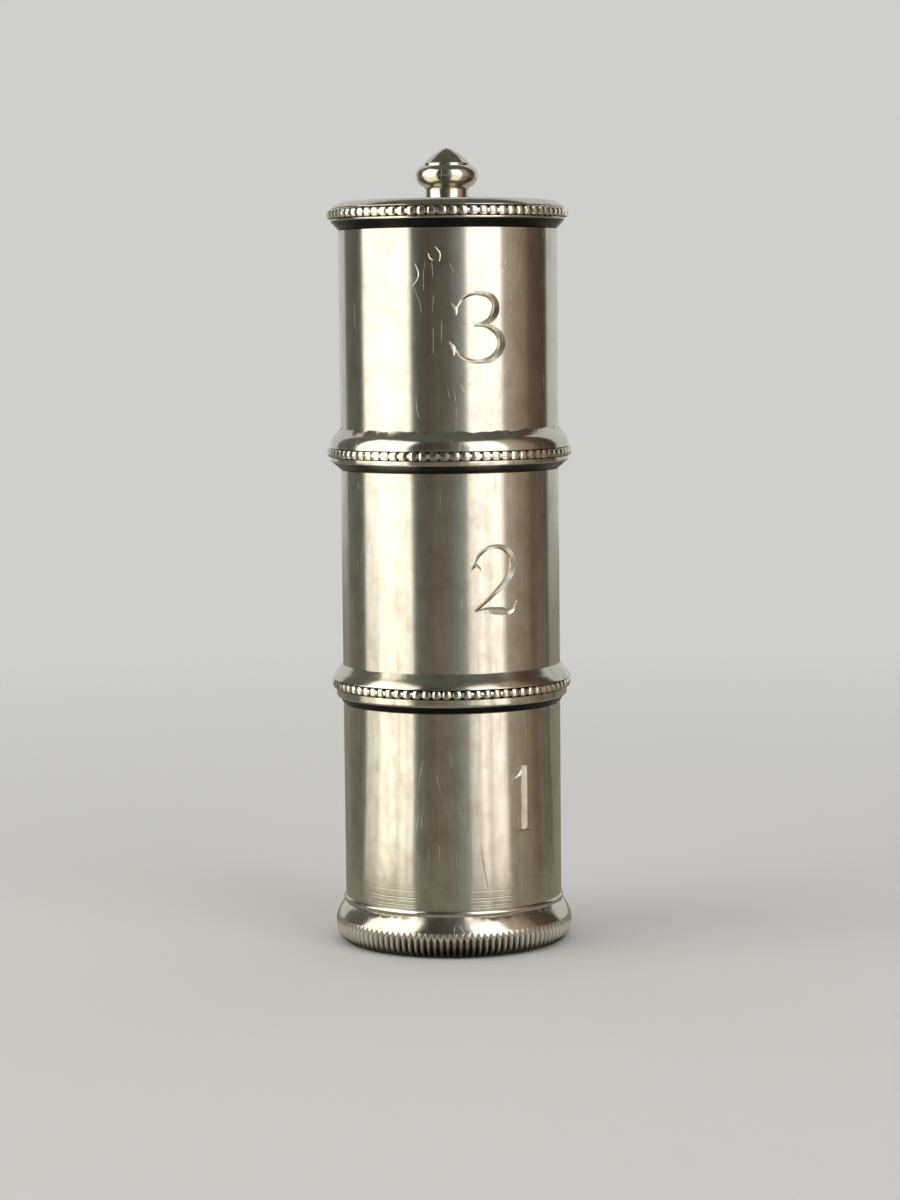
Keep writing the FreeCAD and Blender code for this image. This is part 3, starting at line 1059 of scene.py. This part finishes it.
@dataclass(frozen=True)
class Card:
    """A card round the object; its edges are in degrees right of the camera, from the object."""

    name: str
    start_deg: float
    end_deg: float
    start_hex: str
    end_hex: str
    high: float = 750.0             # millimetres
    near: float = 42.0              # where it starts on the floor, millimetres from the axis
    strength: float = 1.0
    floor_gain: float = 1.0         # how much brighter its foot is than its upper part


@dataclass(frozen=True)
class SoftBox:
    """A tall area lamp that faces the object."""

    name: str
    azimuth_deg: float              # of its middle, in degrees right of the camera
    width: float
    hex_colour: str
    height: float = 0.75
    low: float = 0.01               # of its lower edge
    radiance: float = 1.35          # 1 renders as white
    distance: float = 0.5


CARDS = [
    Card("glow_left", -100.0, -40.0, "#FFFBEF", "#FFFBEF", high=10.0, strength=2.3),
    Card("flag_front_left", -40.0, -24.0, "#3E4446", "#46423E", floor_gain=2.2),
    Card("flag_front_middle", -24.0, 2.0, "#463E38", "#5A5650", floor_gain=2.2),
    Card("flag_front_right", 2.0, 18.5, "#66686A", "#9A9B98", floor_gain=1.3),
    Card("glow_right", 18.5, 56.5, "#FFF8F2", "#FFF8F2", high=10.0, strength=2.0),
    Card("wall_right", 56.5, 90.0, "#C9BCB0", "#857464"),
    Card("wall_far_right", 90.0, 124.0, "#665446", "#3C3832", floor_gain=1.3),
    Card("flag_left", -137.0, -100.0, "#70706A", "#50524E", floor_gain=1.2),
    Card("floor_near", -180.0, 180.0, "#8A8678", "#8A8678", high=1.3, near=13.5),
]
SOFT_BOXES = [
    SoftBox("soft_box_left", -70.3, 0.58, "#FFFBEF"),
    SoftBox("soft_box_right", 38.5, 0.374, "#FFFAF5"),
]


@dataclass
class Studio:
    """A plain pale floor and surround, two tall soft boxes and dark cards for the metal to show."""

    surround_radius: float = 0.62
    surround_height: float = 0.75
    surround_steps: int = 128
    floor_hex: str = "#D4D4D5"
    surround_hex: str = "#CFCFCD"
    fade_start: float = 0.06
    fade_end: float = 0.3
    card_lift: float = 1.2          # millimetres above the floor
    card_reach: float = 520.0       # millimetres from the axis
    card_steps: int = 24
    card_fade: float = 75.0 * MM    # height over which a card's foot turns into its upper part
    fill_watts: float = 2.4
    fill_size: float = 0.8
    fill_place: tuple[float, float, float] = (0.0, 0.1, 0.7)
    ceiling_hex: str = "#5C6058"
    camera_place: tuple[float, float, float] = (-0.1 * MM, -304.6 * MM, 63.6 * MM)
    camera_lens: float = 90.5
    camera_down_deg: float = 5.45
    camera_roll_deg: float = -0.56

    def seen(self, tree: bpy.types.NodeTree) -> Socket:
        """1 for rays that look at the surround: camera, glossy and transmission rays."""
        path = add_node(tree, "LightPath").outputs
        first = add_node(
            tree, "Math", {0: path["Is Camera Ray"], 1: path["Is Glossy Ray"]}, operation="MAXIMUM"
        )
        return add_node(
            tree, "Math", {0: first.outputs[0], 1: path["Is Transmission Ray"]}, operation="MAXIMUM"
        ).outputs[0]

    def surround(self) -> None:
        """A round pale backdrop that stands on the floor."""
        deselect_all()
        bpy.ops.mesh.primitive_cylinder_add(
            vertices=self.surround_steps, radius=self.surround_radius, depth=self.surround_height,
            end_fill_type="NOTHING", location=(0, 0, self.surround_height / 2 - 0.01),
        )
        wall = bpy.context.object
        wall.name = "surround"
        material, tree, output = new_material("pale_paper_surround")
        plain = add_node(tree, "BsdfDiffuse", {"Color": linear(self.surround_hex)})
        shown = add_node(tree, "Emission", {"Color": linear(self.surround_hex), "Strength": 1.0})
        mix = add_node(tree, "MixShader", {0: self.seen(tree), 1: plain.outputs[0], 2: shown.outputs[0]})
        tree.links.new(mix.outputs[0], output.inputs[0])
        give_finish(wall, material)

    def floor(self) -> None:
        """A pale round floor that keeps shadows near the object and far off melts into the surround."""
        deselect_all()
        bpy.ops.mesh.primitive_circle_add(
            vertices=self.surround_steps, radius=self.surround_radius, fill_type="NGON"
        )
        floor = bpy.context.object
        floor.name = "floor"
        material, tree, output = new_material("pale_floor")
        place = add_node(tree, "TexCoord").outputs["Object"]
        distance = add_node(tree, "VectorMath", {0: place}, operation="LENGTH").outputs["Value"]
        far = add_node(
            tree, "MapRange",
            {"Value": distance, "From Min": self.fade_start, "From Max": self.fade_end, "To Min": 0.0,
             "To Max": 1.0},
            interpolation_type="SMOOTHSTEP",
        ).outputs[0]
        share = add_node(tree, "Math", {0: far, 1: self.seen(tree)}, operation="MULTIPLY").outputs[0]
        plain = add_node(tree, "BsdfDiffuse", {"Color": linear(self.floor_hex)})
        shown = add_node(tree, "Emission", {"Color": linear(self.surround_hex), "Strength": 1.0})
        mix = add_node(tree, "MixShader", {0: share, 1: plain.outputs[0], 2: shown.outputs[0]})
        tree.links.new(mix.outputs[0], output.inputs[0])
        give_finish(floor, material)

    def card(self, card: "Card") -> None:
        """A card that lies on the floor and curves up, which only the metal's gloss shows."""
        lift, reach = self.card_lift, self.card_reach
        chain = draw_chain(card.name, [(card.near, lift), (reach, lift), (reach, card.high)])
        spin_about_axis(chain, math.radians(card.end_deg - card.start_deg), self.card_steps)
        chain.data.transform(Matrix.Rotation(math.radians(card.start_deg - 90.0), 4, "Z"))
        material, tree, output = new_material(card.name + "_card")
        place = add_node(tree, "TexCoord").outputs["Object"]
        split = add_node(tree, "SeparateXYZ", {"Vector": place}).outputs
        minus_y = add_node(tree, "Math", {0: split["Y"], 1: -1.0}, operation="MULTIPLY").outputs[0]
        azimuth = add_node(tree, "Math", {0: split["X"], 1: minus_y}, operation="ARCTAN2").outputs[0]
        share = add_node(
            tree, "MapRange",
            {"Value": azimuth, "From Min": math.radians(card.start_deg),
             "From Max": math.radians(card.end_deg), "To Min": 0.0, "To Max": 1.0},
        ).outputs[0]
        colour = add_node(
            tree, "Mix", {"Factor": share, "A": linear(card.start_hex), "B": linear(card.end_hex)},
            data_type="RGBA",
        ).outputs["Result"]
        gain = add_node(
            tree, "MapRange",
            {"Value": split["Z"], "From Min": 0.0, "From Max": self.card_fade,
             "To Min": card.strength * card.floor_gain, "To Max": card.strength},
        ).outputs[0]
        glow = add_node(tree, "Emission", {"Color": colour, "Strength": gain})
        tree.links.new(glow.outputs[0], output.inputs[0])
        give_finish(chain, material)
        chain.visible_camera = chain.visible_diffuse = chain.visible_shadow = False

    def soft_box(self, box: SoftBox) -> None:
        """Add one of the tall lamps."""
        deselect_all()
        angle = math.radians(box.azimuth_deg)
        bpy.ops.object.light_add(type="AREA")
        lamp = bpy.context.object
        lamp.name = box.name
        lamp.data.shape = "RECTANGLE"
        lamp.data.size, lamp.data.size_y = box.width, box.height
        lamp.data.energy = box.radiance * math.pi * box.width * box.height
        lamp.data.color = linear(box.hex_colour)[:3]
        lamp.location = (
            box.distance * math.sin(angle), -box.distance * math.cos(angle), box.low + box.height / 2
        )
        lamp.rotation_euler = Euler((math.pi / 2, 0, angle), "XYZ")
        lamp.visible_camera = False

    def build(self) -> None:
        """Set up the floor, surround, lamps, cards, world and camera."""
        self.surround()
        self.floor()
        for box in SOFT_BOXES:
            self.soft_box(box)
        for card in CARDS:
            self.card(card)
        self.fill()
        self.world()
        self.camera()

    def fill(self) -> None:
        """A soft lamp from above for the floor; the metal's gloss doesn't show it."""
        deselect_all()
        bpy.ops.object.light_add(type="AREA", location=self.fill_place)
        lamp = bpy.context.object
        lamp.name = "floor_fill"
        lamp.data.size = self.fill_size
        lamp.data.energy = self.fill_watts
        lamp.visible_camera = lamp.visible_glossy = False

    def world(self) -> None:
        """A dim, slightly green ceiling."""
        world = bpy.data.worlds.new("dim_room")
        bpy.context.scene.world = world
        world.use_nodes = True
        background = world.node_tree.nodes["Background"].inputs
        background["Color"].default_value = linear(self.ceiling_hex)
        background["Strength"].default_value = 1.0

    def camera(self) -> None:
        """A long lens at the height of the upper tier, looking a little down."""
        deselect_all()
        bpy.ops.object.camera_add(location=self.camera_place)
        camera = bpy.context.object
        camera.name = "camera"
        camera.data.lens = self.camera_lens
        camera.data.sensor_width = 36.0
        tilt = Matrix.Rotation(math.radians(90.0 - self.camera_down_deg), 4, "X")
        roll = Matrix.Rotation(math.radians(self.camera_roll_deg), 4, "Z")
        camera.rotation_euler = (tilt @ roll).to_euler()
        camera.data.clip_start = 0.01
        bpy.context.scene.camera = camera
        bpy.context.scene.view_settings.view_transform = "Standard"


def dress_inner_nodes(finishes: Finishes) -> None:
    """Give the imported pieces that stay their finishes."""
    for name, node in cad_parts.items():
        if name.endswith("_seal"):
            give_finish(node, finishes.seal)
        elif name.endswith(("_neck", "_socket", "_floor", "_rivet")):
            give_finish(node, finishes.inner)


def tier_parts(finishes: Finishes) -> tuple[Tier, Tier, Tier]:
    """The three tiers, each with its numeral's middle height and its degrees right of the front."""
    return (
        Tier("bottom", Body.BOTTOM, "1", 15.6, 40.0, finishes, [SCRATCHES["oblique"]],
             rings=[4.95, 5.2, 5.62, 5.9, 6.6]),
        Tier("middle", Body.MIDDLE, "2", 37.4, 24.0, finishes),
        Tier("top", Body.TOP, "3", 62.1, 16.0, finishes,
             [SCRATCHES["hook"], SCRATCHES["arc"], SCRATCHES["tick"]], rings=[66.2]),
    )


def joint_rings() -> dict[str, tuple[Moulding, Beading]]:
    """The moulding and the beads round the base of each upper tier."""
    rings = {}
    for name, moulding, beads in (
        (
            "middle",
            {"chamfer": (0.39, 0.55), "strip": (0.68, 0.9), "seat_low": 1.4, "seat_high": 2.38,
             "seat_depth": 0.5, "band": (1.05, 2.45), "band_middle": (0.84, 2.8),
             "shoulder": (0.5, 3.25), "toe": (0.05, 3.85), "run": 0.05},
            {"reach": 0.62, "bead_radius": 0.49, "squareness": 0.25, "flat": 0.95},
        ),
        (
            "top",
            {"chamfer": (0.83, 0.68), "strip": (1.0, 0.8), "seat_low": 1.2, "seat_high": 2.1,
             "seat_depth": 0.5, "band": (1.02, 2.36), "band_middle": (0.84, 3.0),
             "shoulder": (0.43, 3.52), "toe": (0.05, 4.05), "run": 0.3},
            {"reach": 0.92, "bead_radius": 0.45, "squareness": 0.5, "flat": 0.9},
        ),
    ):
        wire = Span.of(f"{name}_beaded_wire")
        centre = TUBE_RADIUS + beads.pop("reach")
        rings[name] = (
            Moulding(Span.of(f"{name}_tube").low, **moulding),
            Beading(centre, (wire.low + wire.high) / 2, **beads),
        )
    return rings


def main() -> None:
    """Build the object's pieces and the studio."""
    logging.basicConfig(level=logging.INFO, format="%(message)s")
    finishes = Finishes()
    tiers, rings = tier_parts(finishes), joint_rings()
    for tier in tiers:
        tier.tube()
    for tier in tiers:
        if tier.name in rings:
            tier.ring(*rings[tier.name])
    Foot(finishes).build()
    Lid(finishes).build()
    dress_inner_nodes(finishes)
    Studio().build()


if __name__ == "__main__":
    main()
